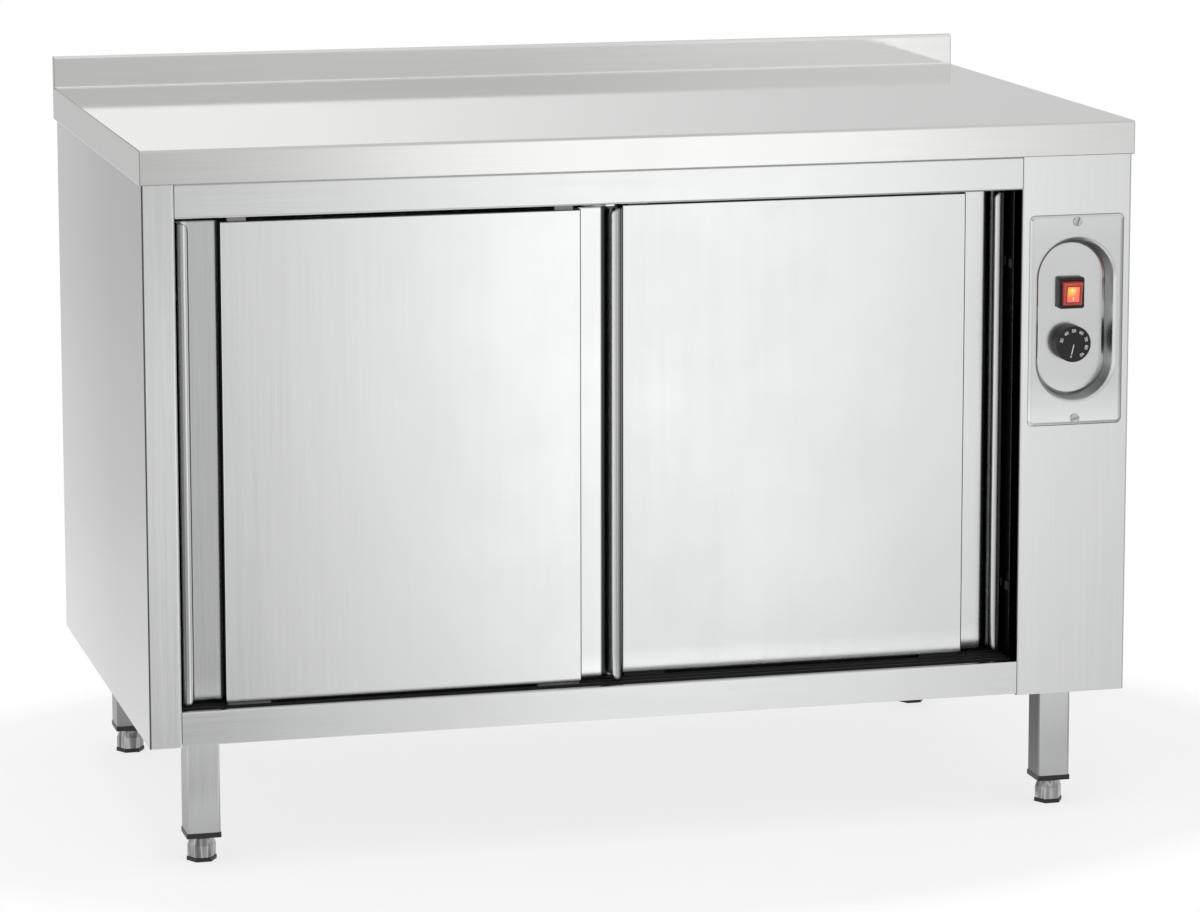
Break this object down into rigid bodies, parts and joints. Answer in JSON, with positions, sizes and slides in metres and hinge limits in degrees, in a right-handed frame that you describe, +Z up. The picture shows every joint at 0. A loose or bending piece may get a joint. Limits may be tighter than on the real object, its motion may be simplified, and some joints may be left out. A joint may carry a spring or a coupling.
{
  "type": "plate warmer cabinet",
  "caption": "Free-standing heated cabinet of folded stainless steel with a worktop and upstand, sliding doors, a shelf, a recessed control panel and adjustable feet",
  "frame": {"origin": "on the floor, under the middle of the worktop's outline", "axes": "X to the right as seen from the doors, Y from the doors to the back, Z up"},
  "size_m": [1.2, 0.7, 0.89],
  "materials": {
    "stainless_steel": "fine brushed",
    "track_aluminium": "mill",
    "insulation": "mineral wool",
    "black_plastic": "satin",
    "nylon": "satin",
    "red_plastic": "lit, translucent",
    "buffer_rubber": "matt",
    "thermostat_steel": "zinc plated"
  },
  "bodies": {
    "cabinet": {"worktop": "stainless_steel", "worktop_stiffeners": "stainless_steel", "left_side_panel": "stainless_steel", "right_side_panel": "stainless_steel", "rear_panel": "stainless_steel", "base_tray": "stainless_steel", "front_top_rail": "stainless_steel", "front_bottom_rail": "stainless_steel", "left_inner_wall": "stainless_steel", "right_inner_wall": "stainless_steel", "rear_inner_wall": "stainless_steel", "ceiling_panel": "stainless_steel", "cabinet_floor": "stainless_steel", "control_plate": "stainless_steel", "shelf_uprights": "stainless_steel", "shelf_clips": "stainless_steel", "heater_box": "stainless_steel", "heating_element": "stainless_steel", "leg_front_left": "stainless_steel", "leg_front_right": "stainless_steel", "leg_rear_left": "stainless_steel", "leg_rear_right": "stainless_steel", "top_track": "track_aluminium", "insulation_boards": "insulation", "leg_caps": "black_plastic", "switch_housing": "black_plastic", "cable_gland": "black_plastic", "bottom_guide": "black_plastic", "terminal_block": "nylon", "door_buffers": "buffer_rubber", "wiring_loom": "buffer_rubber", "thermostat": "thermostat_steel", "fan_motor": "thermostat_steel"},
    "left_door": {"left_door_panel": "stainless_steel", "left_door_shell": "stainless_steel", "left_door_hangers": "stainless_steel", "left_door_guides": "nylon"},
    "right_door": {"right_door_panel": "stainless_steel", "right_door_shell": "stainless_steel", "right_door_hangers": "stainless_steel", "right_door_guides": "nylon"},
    "left_door_wheel_left": {"left_door_roller_left": "nylon"},
    "left_door_wheel_right": {"left_door_roller_right": "nylon"},
    "right_door_wheel_left": {"right_door_roller_left": "nylon"},
    "right_door_wheel_right": {"right_door_roller_right": "nylon"},
    "power_rocker": {"rocker": "red_plastic"},
    "thermostat_control": {"thermostat_knob": "black_plastic", "thermostat_shaft": "thermostat_steel"},
    "fan_wheel": {"fan_impeller": "track_aluminium"},
    "loose_shelf": {"shelf": "stainless_steel"},
    "front_left_foot": {"foot_front_left": "stainless_steel", "foot_pad_front_left": "black_plastic"},
    "front_right_foot": {"foot_front_right": "stainless_steel", "foot_pad_front_right": "black_plastic"},
    "rear_left_foot": {"foot_rear_left": "stainless_steel", "foot_pad_rear_left": "black_plastic"},
    "rear_right_foot": {"foot_rear_right": "stainless_steel", "foot_pad_rear_right": "black_plastic"}
  },
  "joints": [
    {"name": "left_door_slide", "type": "slide", "parent": "cabinet", "child": "left_door", "axis": [1, 0, 0], "range_m": [0, 0.484]},
    {"name": "right_door_slide", "type": "slide", "parent": "cabinet", "child": "right_door", "axis": [-1, 0, 0], "range_m": [0, 0.484]},
    {"name": "left_door_wheel_left_turn", "type": "hinge", "parent": "left_door", "child": "left_door_wheel_left", "pos_m": [-0.484, -0.311, 0.7828], "axis": [0, 1, 0], "continuous": true},
    {"name": "left_door_wheel_right_turn", "type": "hinge", "parent": "left_door", "child": "left_door_wheel_right", "pos_m": [-0.097, -0.311, 0.7828], "axis": [0, 1, 0], "continuous": true},
    {"name": "right_door_wheel_left_turn", "type": "hinge", "parent": "right_door", "child": "right_door_wheel_left", "pos_m": [0, -0.283, 0.7828], "axis": [0, -1, 0], "continuous": true},
    {"name": "right_door_wheel_right_turn", "type": "hinge", "parent": "right_door", "child": "right_door_wheel_right", "pos_m": [0.387, -0.283, 0.7828], "axis": [0, -1, 0], "continuous": true},
    {"name": "rocker_tilt", "type": "hinge", "parent": "cabinet", "child": "power_rocker", "pos_m": [0.529, -0.331, 0.6415], "axis": [-1, 0, 0], "range_deg": [0, 16]},
    {"name": "thermostat_turn", "type": "hinge", "parent": "cabinet", "child": "thermostat_control", "pos_m": [0.529, -0.325, 0.5805], "axis": [0, 1, 0], "range_deg": [0, 270]},
    {"name": "fan_spin", "type": "hinge", "parent": "cabinet", "child": "fan_wheel", "pos_m": [0.52, 0.05992, 0.343], "axis": [1, 0, 0], "continuous": true},
    {"name": "shelf_lift", "type": "slide", "parent": "cabinet", "child": "loose_shelf", "axis": [0, 0, 1], "range_m": [0, 0.12]},
    {"name": "front_left_foot_height", "type": "slide", "parent": "cabinet", "child": "front_left_foot", "axis": [0, 0, -1], "range_m": [0, 0.04]},
    {"name": "front_right_foot_height", "type": "slide", "parent": "cabinet", "child": "front_right_foot", "axis": [0, 0, -1], "range_m": [0, 0.04]},
    {"name": "rear_left_foot_height", "type": "slide", "parent": "cabinet", "child": "rear_left_foot", "axis": [0, 0, -1], "range_m": [0, 0.04]},
    {"name": "rear_right_foot_height", "type": "slide", "parent": "cabinet", "child": "rear_right_foot", "axis": [0, 0, -1], "range_m": [0, 0.04]}
  ],
  "couplings": [
    {"joint": "left_door_wheel_left_turn", "follows": "left_door_slide", "rad_per_m": 90.909},
    {"joint": "left_door_wheel_right_turn", "follows": "left_door_slide", "rad_per_m": 90.909},
    {"joint": "right_door_wheel_left_turn", "follows": "right_door_slide", "rad_per_m": 90.909},
    {"joint": "right_door_wheel_right_turn", "follows": "right_door_slide", "rad_per_m": 90.909}
  ]
}
